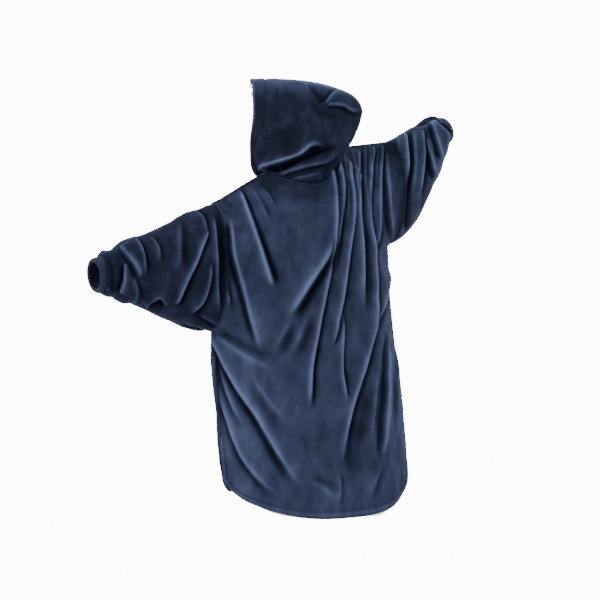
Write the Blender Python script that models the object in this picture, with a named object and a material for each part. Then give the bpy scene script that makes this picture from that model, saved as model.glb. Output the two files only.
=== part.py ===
"""A wearable hooded blanket: an oversized plush pullover with a fleece lining, held open as it is worn.

Metres, +Z up. The origin is the centre of the neck opening. The front faces -Y and the wearer's left is +X.
The wearer leans: the left sleeve points down and the right sleeve up, and the hood is turned to the left.

Each cloth piece is a sheet laid out by a formula in two numbers, then given its thickness by modifiers.
"""

import math

import bmesh
import bpy
import numpy as np
from mathutils import Vector

# Cloth
OUTER = 0.003  # plush outer cloth
LINING = 0.005  # curly fleece lining
GAP = 0.0005  # between pieces that touch
LAYER = 0.0012  # between the outer cloth and its lining
SEAM = 0.0003  # each piece that is sewn edge to edge stops this far short of the seam
JOIN = 0.0014  # the same where the two pieces meet at a slight bend
BEND = 0.0040  # and for the linings where they meet at a sharper one
FOLD = 0.010  # the linings stop this far short of the shoulder seams, where they meet in a fold
ROLL = 0.005  # radius of a rolled hem
ROLL_SMALL = 0.0035  # radius of the roll at the pocket's mouths
FULL = OUTER + LAYER + LINING

# Torso
LEAN = math.radians(20)  # how far the shoulders tip down to the wearer's left
UP = np.array([math.sin(LEAN), 0.0, math.cos(LEAN)])  # out of the tipped neck opening
COLUMNS = 16  # across a torso panel; the neck's corners fall on columns 5 and 11
NECK_COLUMN = 5
EVEN_COLUMNS = 0.7  # 1 spaces the columns evenly, and 0 crowds them at the side seams like a circle's
LOW_ROWS = 9  # from the hem to the underarm
HIGH_ROWS = 7  # from the underarm to the shoulder seam
UNDERARM = LOW_ROWS / (LOW_ROWS + HIGH_ROWS)
HEM_SIDE_Z = -0.935
HEM_DROP = {"back": 0.075, "front": 0.045}  # how much lower the middle of the shirt-tail hem is
SLIT_ROWS = 3  # rows from the hem that the side slits are open
ROUNDNESS = 2.5  # exponent of the torso's rounded section
HALF_DEPTH = 0.178
NECK_DEPTH = {"back": 0.100, "front": 0.112}
NECK_DIP = {"back": 0.075, "front": 0.110}
SHOULDER_RISE = 0.035
WAY = {"back": 1.0, "front": -1.0}

# Armholes: the top and the bottom of each, and half the depth from front to back
ARMHOLE = {
    "left": (np.array([0.300, 0.040, -0.130]), np.array([0.285, 0.030, -0.480])),
    "right": (np.array([-0.310, -0.020, 0.088]), np.array([-0.302, -0.020, -0.225])),
}
ARMHOLE_DEPTH = 0.105

# Side seams from the hem to the underarm: x at even steps
SIDE_X = {
    "left": (0.232, 0.240, 0.256, 0.270, 0.285),
    "right": (-0.320, -0.311, -0.294, -0.280, -0.302),
}

# Sleeves: at even steps from the armhole to the cuff, the highest and lowest z and half the depth
SLEEVE_END = {"left": (0.620, 0.086), "right": (-0.566, -0.078)}
SLEEVE_TOP = {
    "left": (-0.130, -0.172, -0.212, -0.240, -0.281),
    "right": (0.088, 0.117, 0.152, 0.180, 0.188),
}
SLEEVE_BOTTOM = {
    "left": (-0.480, -0.458, -0.430, -0.402, -0.374),
    "right": (-0.225, -0.200, -0.140, -0.055, 0.090),
}
SLEEVE_DEPTH = (0.105, 0.110, 0.100, 0.078, 0.045)
ROUND = 16  # corners round a sleeve
HEAD_START = 0.006  # the sleeve head starts this far out of the armhole's edge
HEAD_LENGTH = 0.140  # the part of a sleeve next to the armhole, which creases as the arm moves
CUFF_END = {"left": (0.658, 0.094, -0.334), "right": (-0.604, -0.086, 0.158)}
CUFF_RADIUS = 0.040
CUFF_LENGTH = 0.065
CUFF_WALL = 0.004

# Hood: F points the way the hood faces, and S to the side of the wearer's left ear
HOOD_TURN = math.radians(62)
HOOD_F = np.array([math.sin(HOOD_TURN), -math.cos(HOOD_TURN), 0.0])
HOOD_S = np.array([math.cos(HOOD_TURN), math.sin(HOOD_TURN), 0.0])
# At even steps from the neckline to the crown: how far forward the face edge and the back seam lie,
# half the width, and the shares of the height that the face edge and the back seam have climbed
HOOD_EDGE_F = (0.110, 0.122, 0.134, 0.138, 0.140, 0.142, 0.142)
HOOD_SEAM_F = (-0.095, -0.105, -0.132, -0.155, -0.172, -0.180, -0.181)
HOOD_WIDTH = (0.105, 0.112, 0.120, 0.122, 0.114, 0.088, 0.0)
HOOD_EDGE_CLIMB = (0.0, 0.16, 0.33, 0.52, 0.72, 0.91, 1.0)
HOOD_SEAM_CLIMB = (0.0, 0.20, 0.42, 0.62, 0.81, 0.94, 1.0)
HOOD_TOP_Z = (0.250, 0.156)  # at the face and at the tip of the back seam
HOOD_BULGE = 0.016  # how much fuller than an ellipse the crown is
HOOD_CENTRE_F = -0.015
HOOD_TWIST_TO = 0.62  # share of the height over which the hood turns from the neckline to the face
HOOD_FULL_FROM = 0.30  # share of the height from which the hood is as wide as above
HOOD_FOOT = {"left": (58, 180), "right": (30, -180)}  # angles round the neckline, from the face to the nape
HOOD_LIFT = 0.007  # the hood's foot stands on the outer cloth at the neckline
HOOD_ROWS = 12
HOOD_COLUMNS = 9

# Kangaroo pocket on the front
POCKET_COLUMNS = (3, 13)
POCKET_ROWS = (2, 7)
POCKET_SLANT = 0.7  # how many columns narrower it is at its top, at each side
POCKET_SEWN = OUTER + 0.0030
POCKET_STAND = 0.024

TAPE_IN = 0.0030  # the neck tape stands this far inside the neckline

PLUSH = ("navy_plush", (0.030, 0.050, 0.105), 0.85)
FLEECE = ("cream_curly_fleece", (0.80, 0.78, 0.73), 0.95)
RIB = ("navy_rib_knit", (0.024, 0.030, 0.075), 0.80)
TAPE = ("navy_cotton_tape", (0.025, 0.035, 0.070), 0.75)
LABEL = ("white_satin_label", (0.80, 0.80, 0.78), 0.45)
THREAD = ("navy_thread", (0.035, 0.050, 0.110), 0.60)


def clear_scene():
    for found in list(bpy.data.objects):
        bpy.data.objects.remove(found, do_unlink=True)


def material(finish):
    name, colour, roughness = finish
    made = bpy.data.materials.get(name)
    if made is None:
        made = bpy.data.materials.new(name)
        made.use_nodes = True
        shader = made.node_tree.nodes["Principled BSDF"]
        shader.inputs["Base Color"].default_value = (*colour, 1.0)
        shader.inputs["Roughness"].default_value = roughness
        shader.inputs["Metallic"].default_value = 0.0
    return made


def add_object(name, data, finish):
    made = bpy.data.objects.new(name, data)
    made.data.materials.append(material(finish))
    bpy.context.scene.collection.objects.link(made)
    return made


def smooth_through(values, share, keys=None):
    """The smooth curve through the values, at a share from 0 to 1 of the way along."""
    keys = np.linspace(0, 1, len(values)) if keys is None else np.array(keys)
    values = np.array(values, float)
    slopes = np.gradient(values, keys)
    i = int(np.clip(np.searchsorted(keys, share) - 1, 0, len(keys) - 2))
    step = keys[i + 1] - keys[i]
    t = (share - keys[i]) / step
    start, end = values[i], values[i + 1]
    return (
        (2 * t**3 - 3 * t**2 + 1) * start
        + (t**3 - 2 * t**2 + t) * step * slopes[i]
        + (3 * t**2 - 2 * t**3) * end
        + (t**3 - t**2) * step * slopes[i + 1]
    )


def ease(share):
    """0 to 1 with a soft start and end."""
    share = min(1.0, max(0.0, share))
    return share * share * (3 - 2 * share)


def neck_rise(panel, inside):
    """How far the neckline stands above the line of the shoulders. inside is 0 at a neck corner and 1 mid-neck."""
    return SHOULDER_RISE - NECK_DIP[panel] * inside


def share_across(across):
    return EVEN_COLUMNS * across + (1 - EVEN_COLUMNS) * (1 - math.cos(math.pi * across)) / 2


def torso_point(panel, across, up):
    """A point of a torso panel: across runs from the wearer's right to the left, up from the hem to the shoulder."""
    x_share = share_across(across)
    middle = abs(2 * x_share - 1)
    curve = max(0.0, 1 - middle**ROUNDNESS) ** (1 / ROUNDNESS)
    way = WAY[panel]
    if up <= UNDERARM:
        share = up / UNDERARM
        ends = []
        for side in ("right", "left"):
            bottom = ARMHOLE[side][1]
            x = smooth_through(SIDE_X[side], share)
            z = HEM_SIDE_Z + (bottom[2] - HEM_SIDE_Z) * share
            ends.append(np.array([x, bottom[1] * share, z]))
        point = ends[0] + (ends[1] - ends[0]) * x_share
        point[1] += way * HALF_DEPTH * curve
        point[2] -= HEM_DROP[panel] * (1 - middle**3) * (1 - share) ** 2
        return point
    angle = math.pi * ((up - UNDERARM) / (1 - UNDERARM) - 0.5)
    ends = []
    for side in ("right", "left"):
        top, bottom = ARMHOLE[side]
        end = (top + bottom) / 2 + (top - bottom) / 2 * math.sin(angle)
        end[1] += way * ARMHOLE_DEPTH * math.cos(angle)
        ends.append(end)
    point = ends[0] + (ends[1] - ends[0]) * x_share
    neck_half = 0.5 - share_across(NECK_COLUMN / COLUMNS)
    from_neck = abs(x_share - 0.5) / neck_half
    high = max(0.0, math.sin(angle))
    fade = high**2.5
    inside = max(0.0, 1 - from_neck**2)
    depth = HALF_DEPTH + (NECK_DEPTH[panel] - HALF_DEPTH) * fade
    profile = (1 - fade) * curve + fade * math.sqrt(inside)
    point[1] += way * (depth - ARMHOLE_DEPTH * math.cos(angle)) * profile
    if from_neck <= 1:
        rise = neck_rise(panel, inside)
    else:
        rise = SHOULDER_RISE * (0.5 / neck_half - from_neck) / (0.5 / neck_half - 1)
    return point + UP * rise * high**3


def sleeve_point(side, along, around):
    """A point of a sleeve: along runs from the armhole to the cuff, around once round it from the front."""
    top_end, bottom_end = ARMHOLE[side]
    start = (top_end + bottom_end) / 2
    x = start[0] + (SLEEVE_END[side][0] - start[0]) * along
    y = start[1] + (SLEEVE_END[side][1] - start[1]) * along
    high = smooth_through(SLEEVE_TOP[side], along)
    low = smooth_through(SLEEVE_BOTTOM[side], along)
    lean = (top_end - bottom_end)[:2] / 2 * (1 - along)
    angle = 2 * math.pi * around
    depth = smooth_through(SLEEVE_DEPTH, along)
    return np.array(
        [
            x + lean[0] * math.sin(angle),
            y + lean[1] * math.sin(angle) - depth * math.cos(angle),
            (high + low) / 2 + (high - low) / 2 * math.sin(angle),
        ]
    )


def neck_ring():
    """The corners of the neckline, from the middle of the front round by the wearer's left."""
    columns = range(NECK_COLUMN, COLUMNS - NECK_COLUMN + 1)
    front = [torso_point("front", column / COLUMNS, 1.0) for column in columns]
    back = [torso_point("back", column / COLUMNS, 1.0) for column in columns]
    half = len(front) // 2
    return np.array(front[half:] + back[::-1][1:] + front[1 : half + 1])


def neck_point(turn):
    """A point of the neckline, at an angle from the front towards the wearer's left."""
    ring = neck_ring()
    place = (turn / (2 * math.pi)) % 1.0 * (len(ring) - 1)
    i = min(int(place), len(ring) - 2)
    return ring[i] + (ring[i + 1] - ring[i]) * (place - i)


def hood_upper(side, along, up, foot_z):
    """The hood above its twist, as forward, sideways and height."""
    way = 1.0 if side == "left" else -1.0
    angle = math.pi / 2 * along
    edge_f, seam_f = smooth_through(HOOD_EDGE_F, up), smooth_through(HOOD_SEAM_F, up)
    forward = edge_f + (seam_f - edge_f) * math.sin(angle)
    width = max(0.0, smooth_through(HOOD_WIDTH, up))
    sideways = way * width * max(0.0, math.cos(angle)) ** 0.6
    edge_climb, seam_climb = smooth_through(HOOD_EDGE_CLIMB, up), smooth_through(HOOD_SEAM_CLIMB, up)
    climb = seam_climb + (edge_climb - seam_climb) * math.cos(angle)
    top = HOOD_TOP_Z[1] + (HOOD_TOP_Z[0] - HOOD_TOP_Z[1]) * math.cos(angle)
    top += HOOD_BULGE * math.sin(2 * angle)
    return forward, sideways, foot_z + (top - foot_z) * climb


def hood_point(side, along, up):
    """A point of the hood: along runs from the face to the back seam, up from the neckline to the crown.

    The neckline faces the front and the face opening does not, so the lower part of the hood is twisted.
    """
    first, last = HOOD_FOOT[side]
    foot = neck_point(math.radians(first + (last - first) * along)) + UP * HOOD_LIFT
    forward, sideways, height = hood_upper(side, along, up, foot[2])
    share = ease(up / HOOD_TWIST_TO)
    if share == 1.0:
        return HOOD_F * forward + HOOD_S * sideways + np.array([0.0, 0.0, height])
    low_angle = math.radians(first + (last - first) * along) - HOOD_TURN
    neck = neck_ring().mean(axis=0)
    spoke = foot - neck
    low_f, low_s = spoke @ HOOD_F, spoke @ HOOD_S
    true_angle = math.atan2(low_s, low_f)
    low_angle = true_angle + 2 * math.pi * round((low_angle - true_angle) / (2 * math.pi))
    high_angle = math.atan2(abs(sideways), forward - HOOD_CENTRE_F) * (1 if side == "left" else -1)
    angle = low_angle + (high_angle - low_angle) * share
    low_radius, high_radius = math.hypot(low_f, low_s), math.hypot(forward - HOOD_CENTRE_F, sideways)
    full = ease(up / HOOD_FULL_FROM)
    radius = low_radius + (high_radius - low_radius) * full
    middle = neck + (HOOD_F * HOOD_CENTRE_F - neck * np.array([1.0, 1.0, 0.0])) * full
    middle[2] = height
    return middle + (HOOD_F * math.cos(angle) + HOOD_S * math.sin(angle)) * radius


def lay_out(function, columns, rows):
    """The corners of a grid on a surface: function(u, v) places each of them."""
    steps_u, steps_v = np.linspace(0, 1, columns + 1), np.linspace(0, 1, rows + 1)
    return np.array([[function(u, v) for u in steps_u] for v in steps_v])


def draw_in(corners, left=0.0, right=0.0, low=0.0, high=0.0):
    """Move the edges of a grid inwards along its own lines, to lie so many metres inside where they were."""
    drawn = corners.copy()

    def move(edge, inner, amount):
        way = inner - edge
        way /= np.maximum(np.linalg.norm(way, axis=-1, keepdims=True), 1e-9)
        along = np.gradient(edge, axis=0)
        along /= np.maximum(np.linalg.norm(along, axis=-1, keepdims=True), 1e-9)
        slope = np.maximum(np.linalg.norm(np.cross(way, along), axis=-1, keepdims=True), 0.35)
        return edge + way / slope * np.broadcast_to(np.asarray(amount, float), edge.shape[:1])[:, None]

    drawn[:, 0] = move(drawn[:, 0], corners[:, 1], left)
    drawn[:, -1] = move(drawn[:, -1], corners[:, -2], right)
    drawn[0] = move(drawn[0], drawn[1], low)
    drawn[-1] = move(drawn[-1], drawn[-2], high)
    return drawn


def sheet(name, finish, corners, thickness, start=0.0, closed=False, flip=False):
    """A cloth sheet on a grid of corners, given its thickness by modifiers.

    It grows outwards from start above the grid, or inwards if thickness is negative.
    """
    rows, columns = corners.shape[0] - 1, corners.shape[1] - 1
    grid = bmesh.new()
    made = [[grid.verts.new(place) for place in (row[:-1] if closed else row)] for row in corners]
    for i in range(rows):
        for j in range(columns):
            k = (j + 1) % columns if closed else j + 1
            one, two, three, four = made[i][j], made[i][k], made[i + 1][k], made[i + 1][j]
            for loop in ((one, two, three), (one, three, four)):
                grid.faces.new(loop[::-1] if flip else loop)
    mesh = bpy.data.meshes.new(name)
    grid.to_mesh(mesh)
    grid.free()
    piece = add_object(name, mesh, finish)
    if start:
        shift = piece.modifiers.new("start", "DISPLACE")
        shift.mid_level = 0.0
        shift.strength = start
    wall = piece.modifiers.new("thickness", "SOLIDIFY")
    wall.thickness = abs(thickness)
    wall.offset = 1.0 if thickness > 0 else -1.0
    return piece


def frames_along(points):
    """At each point of a line, two unit vectors square to the line that turn as little as they can."""
    points = np.array(points)
    ways = np.gradient(points, axis=0)
    ways /= np.linalg.norm(ways, axis=1, keepdims=True)
    first = np.cross(ways[0], (0.0, 0.0, 1.0))
    if np.linalg.norm(first) < 0.1:
        first = np.cross(ways[0], (1.0, 0.0, 0.0))
    pairs = []
    for way in ways:
        first = first - way * (first @ way)
        first /= np.linalg.norm(first)
        pairs.append((first, np.cross(way, first)))
    return pairs


def tube(name, finish, points, radius, sides=6, tall=None):
    """A solid round or flattened piece along the points, such as a rolled hem or a loop."""
    tall = radius if tall is None else tall
    shape = bmesh.new()
    rings = []
    for point, (first, second) in zip(points, frames_along(points)):
        angles = [2 * math.pi * i / sides for i in range(sides)]
        ring = [point + first * radius * math.cos(a) + second * tall * math.sin(a) for a in angles]
        rings.append([shape.verts.new(place) for place in ring])
    for ring, after in zip(rings, rings[1:]):
        for i in range(sides):
            k = (i + 1) % sides
            shape.faces.new((ring[i], ring[k], after[k], after[i]))
    shape.faces.new(rings[0][::-1])
    shape.faces.new(rings[-1])
    mesh = bpy.data.meshes.new(name)
    shape.to_mesh(mesh)
    shape.free()
    return add_object(name, mesh, finish)


def block(name, finish, centre, first, second, third):
    """A box from its centre and its three half edges."""
    shape = bmesh.new()
    bmesh.ops.create_cube(shape, size=2.0)
    for corner in shape.verts:
        x, y, z = corner.co
        corner.co = Vector(centre + first * x + second * y + third * z)
    if np.cross(first, second) @ third < 0:
        bmesh.ops.reverse_faces(shape, faces=shape.faces)
    mesh = bpy.data.meshes.new(name)
    shape.to_mesh(mesh)
    shape.free()
    return add_object(name, mesh, finish)


def torso_corners(panel):
    return lay_out(lambda u, v: torso_point(panel, u, v), COLUMNS, LOW_ROWS + HIGH_ROWS)


def slit_rows():
    """For each row of a torso panel, whether it lies beside the open slit."""
    return np.arange(LOW_ROWS + HIGH_ROWS + 1) <= SLIT_ROWS


def side_of(corners):
    """The unit vectors that point out of a grid, one for each corner."""
    along_u = np.gradient(corners, axis=1)
    along_v = np.gradient(corners, axis=0)
    normals = np.cross(along_u, along_v)
    return normals / np.linalg.norm(normals, axis=-1, keepdims=True)


def build_torso_panel(panel):
    """One face of the torso: its outer cloth, its lining and the rolled hem round its free edges."""
    corners = torso_corners(panel)
    flip = panel == "back"
    beside = np.where(slit_rows(), 2 * ROLL + 3 * GAP, SEAM)
    outer = draw_in(corners, beside, beside, 2 * ROLL + 2 * GAP, SEAM)
    sheet(f"{panel}_panel", PLUSH, outer, OUTER, flip=flip)
    shoulder = abs(np.arange(COLUMNS + 1) - COLUMNS / 2) > COLUMNS / 2 - NECK_COLUMN - 0.5
    beside = np.where(slit_rows(), 2 * ROLL + 3 * GAP, BEND)
    beside[LOW_ROWS + 1 :] = JOIN
    inner = draw_in(corners, beside, beside, 2 * ROLL + 2 * GAP, np.where(shoulder, FOLD, JOIN))
    sheet(f"{panel}_lining", FLEECE, inner, -LINING, -LAYER, flip=flip)
    beside = np.where(slit_rows(), ROLL + GAP, SEAM)
    edge = draw_in(corners, beside, beside, ROLL, SEAM)
    out = side_of(edge) * (-1 if flip else 1) * OUTER / 2
    edge = edge + out
    line = [edge[i, 0] for i in range(SLIT_ROWS, 0, -1)]
    line += [edge[0, j] for j in range(COLUMNS + 1)]
    line += [edge[i, -1] for i in range(1, SLIT_ROWS + 1)]
    tube(f"{panel}_hem_roll", PLUSH, line, ROLL, sides=8)


def side_seam(column, up, way):
    """A point of a side seam, its direction and the direction straight out of it."""
    seam = torso_point("back", column, up)
    along = torso_point("back", column, up + 0.02) - torso_point("back", column, up - 0.02)
    along /= np.linalg.norm(along)
    out = np.cross([0.0, way, 0.0], along)
    return seam, along, out / np.linalg.norm(out)


def build_slit_tacks():
    """The short bars of thread that close the top of each side slit."""
    for side, column, way in (("left", 1.0, 1), ("right", 0.0, -1)):
        seam, along, out = side_seam(column, UNDERARM * (SLIT_ROWS + 0.35) / LOW_ROWS, way)
        centre = seam + out * (OUTER + 2 * GAP + 0.0015)
        block(f"{side}_slit_tack", THREAD, centre, out * 0.0015, np.array([0.0, 0.009, 0.0]), along * 0.003)


def pocket_corners():
    """The pocket's grid, on the front panel's own grid, with its two mouths slanting in towards the top."""
    front = torso_corners("front")
    first, last = POCKET_COLUMNS
    low, high = POCKET_ROWS
    corners = front[low : high + 1, first : last + 1].copy()
    slant = (np.linspace(0, 1, high - low + 1) * POCKET_SLANT)[:, None]
    corners[:, 0] += (corners[:, 1] - corners[:, 0]) * slant
    corners[:, -1] += (corners[:, -2] - corners[:, -1]) * slant
    rise = np.sin(np.pi * np.linspace(0, 1, high - low + 1)) ** 0.7
    out = side_of(front)[low : high + 1, first : last + 1]
    return corners + out * (POCKET_SEWN + POCKET_STAND * rise)[:, None, None]


def build_pocket():
    corners = pocket_corners()
    beside = 2 * ROLL_SMALL + GAP
    sheet("pocket_panel", PLUSH, draw_in(corners, beside, beside), OUTER)
    edge = draw_in(corners, ROLL_SMALL, ROLL_SMALL)
    out = side_of(edge) * (ROLL_SMALL - 0.0005)
    for side, column in (("right", 0), ("left", -1)):
        tube(f"{side}_pocket_hem", PLUSH, edge[:, column] + out[:, column], ROLL_SMALL)


def build_sleeve(side):
    """The sleeve's outer cloth and lining, the soft head beside the armhole, and the ribbed cuff."""
    start = (ARMHOLE[side][0] + ARMHOLE[side][1]) / 2
    length = math.hypot(SLEEVE_END[side][0] - start[0], SLEEVE_END[side][1] - start[1])
    head = HEAD_LENGTH / length
    flip = side == "left"

    whole = lay_out(lambda u, v: sleeve_point(side, head + (1 - head) * v, u), ROUND, 7)
    first = lay_out(lambda u, v: sleeve_point(side, head * v, u), ROUND, 3)
    sheet(f"{side}_sleeve_head", PLUSH, draw_in(first, low=HEAD_START, high=JOIN), -FULL, OUTER, True, flip)
    sheet(f"{side}_sleeve_panel", PLUSH, draw_in(whole, low=JOIN), OUTER, 0.0, True, flip)
    inner = draw_in(whole, low=JOIN, high=SEAM)
    sheet(f"{side}_sleeve_lining", FLEECE, inner, -LINING, -LAYER, True, flip)

    end = np.array(CUFF_END[side])
    last = whole[-1, :-1]
    middle = last.mean(axis=0)
    axis = (end - middle) / np.linalg.norm(end - middle)
    out = np.array([1.0 if side == "left" else -1.0, 0.0, 0.0])
    rings = []
    for share in np.linspace(0, 1, 4):
        begin = last + out * 2 * SEAM
        spokes = last - middle
        spokes -= np.outer(spokes @ axis, axis)
        spokes *= CUFF_RADIUS / np.linalg.norm(spokes, axis=1, keepdims=True)
        ring = begin + (end + spokes - begin) * share
        rings.append(np.vstack([ring, ring[:1]]))
    sheet(f"{side}_cuff", RIB, np.array(rings), -CUFF_WALL, 0.0, True, flip)


def build_hood():
    edges = []
    for side in ("left", "right"):
        flip = side == "right"

        def place(u, v, side=side):
            return hood_point(side, u, v)

        corners = lay_out(place, HOOD_COLUMNS, HOOD_ROWS)
        outer = draw_in(corners, 2 * ROLL + GAP, JOIN, 0.0, SEAM)
        sheet(f"hood_{side}_panel", PLUSH, outer, OUTER, flip=flip)
        inner = draw_in(corners, 2 * ROLL + GAP, BEND, 0.0, BEND)
        sheet(f"hood_{side}_lining", FLEECE, inner, -LINING, -LAYER, flip=flip)
        edges.append(draw_in(corners, ROLL)[:, 0])
    line = list(edges[0][:-1]) + list(edges[1][::-1])
    line[0] = line[0] + UP * ROLL
    line[-1] = line[-1] + UP * ROLL
    tube("hood_edge_roll", PLUSH, line, ROLL, sides=8)


def build_neck():
    """The tape that covers the neck seam, with the hanging loop and the blank label at the nape."""
    turns = np.linspace(math.radians(58), math.radians(390), 33)
    middle = neck_ring().mean(axis=0)

    def inside(turn, height, amount=TAPE_IN):
        point = neck_point(turn)
        way = point - middle
        way -= UP * (way @ UP)
        return point - way / np.linalg.norm(way) * amount + UP * height

    rows = [[inside(turn, height) for turn in turns] for height in (-0.009, -0.001)]
    sheet("neck_tape", TAPE, np.array(rows), -0.001)
    half = math.radians(13)
    loop = []
    for share in np.linspace(-1, 1, 13):
        drop = 0.004 + 0.020 * (1 - share**4)
        loop.append(inside(math.pi + half * share, -0.004 - drop, TAPE_IN + 0.0032))
    tube("hanger_loop", TAPE, loop, 0.0018, tall=0.0018)
    centre = inside(math.pi, -0.018, TAPE_IN)
    across = np.array([1.0, 0.0, 0.0]) - UP * UP[0]
    across /= np.linalg.norm(across)
    block("neck_label", LABEL, centre, across * 0.020, np.cross(UP, across) * 0.0004, UP * 0.011)


def build_care_label():
    """The blank label sewn inside the back, beside the left side seam."""
    corners = torso_corners("back")[SLIT_ROWS + 1 : SLIT_ROWS + 3, -2:]
    across = corners[0, 0] - corners[0, 1]
    across /= np.linalg.norm(across)
    along = corners[1].mean(axis=0) - corners[0].mean(axis=0)
    along -= across * (along @ across)
    along /= np.linalg.norm(along)
    inwards = np.cross(across, along)
    inwards *= -1 if inwards[1] > 0 else 1
    centre = corners.mean(axis=(0, 1)) + inwards * (LAYER + LINING + 0.0014)
    block("care_label", LABEL, centre, inwards * 0.0004, across * 0.013, along * 0.022)


def main():
    clear_scene()
    for panel in ("back", "front"):
        build_torso_panel(panel)
    build_slit_tacks()
    build_pocket()
    for side in ("left", "right"):
        build_sleeve(side)
    build_hood()
    build_neck()
    build_care_label()


main()
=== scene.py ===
"""A navy plush wearable blanket with a hood, a curly fleece lining and rib cuffs, in the shape it is worn.

Everything is in metres but the tables of folds, +Z up. The front faces -Y and the wearer's left is +X. The left
sleeve points down, the right sleeve up, and the hood is turned to the left. The folds are laid out as they are seen
from behind the wearer's left shoulder: a fold's line is a list of (across, height), across to the right there.
"""

import math

import bmesh
import bpy
import numpy as np
from mathutils import Matrix, Vector


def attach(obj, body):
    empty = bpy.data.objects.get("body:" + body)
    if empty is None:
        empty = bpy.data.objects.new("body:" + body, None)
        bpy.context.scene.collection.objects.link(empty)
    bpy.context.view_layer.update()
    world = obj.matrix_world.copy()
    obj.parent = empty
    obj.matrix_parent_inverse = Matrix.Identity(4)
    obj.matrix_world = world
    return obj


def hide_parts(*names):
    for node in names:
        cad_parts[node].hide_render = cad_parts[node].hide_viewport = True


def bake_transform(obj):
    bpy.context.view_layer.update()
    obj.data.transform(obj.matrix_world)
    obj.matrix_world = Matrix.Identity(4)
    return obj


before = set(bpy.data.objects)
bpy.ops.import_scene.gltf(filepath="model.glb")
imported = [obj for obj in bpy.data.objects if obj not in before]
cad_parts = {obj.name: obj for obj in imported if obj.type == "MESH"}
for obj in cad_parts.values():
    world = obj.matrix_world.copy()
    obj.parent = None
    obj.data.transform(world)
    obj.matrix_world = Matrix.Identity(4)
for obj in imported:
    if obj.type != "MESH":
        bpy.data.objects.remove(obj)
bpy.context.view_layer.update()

# ---------------------------------------------------------------- sizes

PLUSH_THICK = 0.003
FLEECE_THICK = 0.004

LEAN = math.radians(20)  # how far the shoulders tip down to the wearer's left
UP = np.array([math.sin(LEAN), 0.0, math.cos(LEAN)])
UNDERARM = 9 / 16  # share of a torso panel's height, from the hem, where the armhole begins
NECK_CORNER = 5 / 16  # share of a torso panel's width where the neckline begins
SLIT_TOP = 3 / 16
EVEN_COLUMNS = 0.7
SIDE_SHARPNESS = 2.4  # front and back meet at a soft edge down each side seam
HALF_DEPTH = 0.178
HEM_SIDE_Z = -0.935
HEM_DROP = {"back": 0.075, "front": 0.045}
NECK_DEPTH = {"back": 0.100, "front": 0.112}
NECK_DIP = {"back": 0.075, "front": 0.110}
SHOULDER_RISE = 0.035
WAY = {"back": 1.0, "front": -1.0}

ARMHOLE = {
    "left": (np.array([0.300, 0.040, -0.130]), np.array([0.298, 0.030, -0.480])),
    "right": (np.array([-0.310, -0.020, 0.088]), np.array([-0.312, -0.020, -0.225])),
}
ARMHOLE_DEPTH = 0.105
ARMHOLE_REACH = 4  # the higher, the closer to its seam the armhole opens out
CORNER_ROUND = 0.046
CORNER_WIDE = 0.050
SIDE_X = {
    "left": (0.247, 0.258, 0.276, 0.293, 0.298),
    "right": (-0.3455, -0.338, -0.328, -0.316, -0.312),
}
SIDE_Y = {"left": 0.0, "right": 0.040}  # how far back each side seam lies at the hem
SLEEVE_END = {"left": (0.640, 0.090), "right": (-0.556, -0.078)}
SLEEVE_TOP = {
    "left": (-0.130, -0.148, -0.161, -0.184, -0.203, -0.220, -0.234, -0.260, -0.281),
    "right": (0.089, 0.100, 0.112, 0.128, 0.145, 0.163, 0.180, 0.186, 0.178),
}
SLEEVE_BOTTOM = {
    "left": (-0.480, -0.480, -0.470, -0.454, -0.436, -0.417, -0.402, -0.390, -0.378),
    "right": (-0.225, -0.213, -0.197, -0.173, -0.138, -0.092, -0.036, 0.026, 0.104),
}
SLEEVE_DEPTH = {
    "left": (0.105, 0.109, 0.111, 0.110, 0.106, 0.100, 0.092, 0.074, 0.050),
    "right": (0.105, 0.109, 0.109, 0.105, 0.098, 0.088, 0.076, 0.060, 0.045),
}
SLEEVE_PUFF = {"left": 1.0, "right": 0.5}  # how far the sleeve puffs out in rings just above the cuff
SLEEVE_NARROW = {"left": 0.0, "right": 0.30}  # how much slimmer the underside is
SLEEVE_SLANT = {"left": 0.0, "right": -0.020}  # how much further the underside reaches at the cuff
CUFF_END = {"left": (0.654, 0.094, -0.333), "right": (-0.569, -0.083, 0.150)}
CUFF_AXIS = {"left": (0.96, 0.10, -0.12), "right": (-0.93, -0.10, 0.42)}
CUFF_RADIUS = {"left": 0.043, "right": 0.040}
CUFF_LENGTH = {"left": 0.056, "right": 0.026}
RIBS = 54
RIB_DEEP = 0.0009
HEAD_LENGTH = 0.140

HOOD_TURN = math.radians(62)
HOOD_F = np.array([math.sin(HOOD_TURN), -math.cos(HOOD_TURN), 0.0])
HOOD_S = np.array([math.cos(HOOD_TURN), math.sin(HOOD_TURN), 0.0])
HOOD_EDGE_F = (0.112, 0.140, 0.144, 0.143, 0.143, 0.146, 0.149)
HOOD_SEAM_F = (-0.095, -0.105, -0.132, -0.155, -0.172, -0.180, -0.181)
HOOD_WIDTH = (0.105, 0.112, 0.120, 0.122, 0.114, 0.088, 0.0)
HOOD_EDGE_CLIMB = (0.0, 0.16, 0.33, 0.52, 0.72, 0.91, 1.0)
HOOD_SEAM_CLIMB = (0.0, 0.20, 0.42, 0.62, 0.81, 0.94, 1.0)
HOOD_TOP_Z = (0.250, 0.156)
HOOD_BULGE = 0.011
HOOD_CENTRE_F = -0.015
HOOD_FRONT_ROUND = 0.020
HOOD_TWIST_TO = 0.62
HOOD_FULL_FROM = 0.30
HOOD_FOOT = {"left": (58, 180), "right": (30, -180)}

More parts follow.
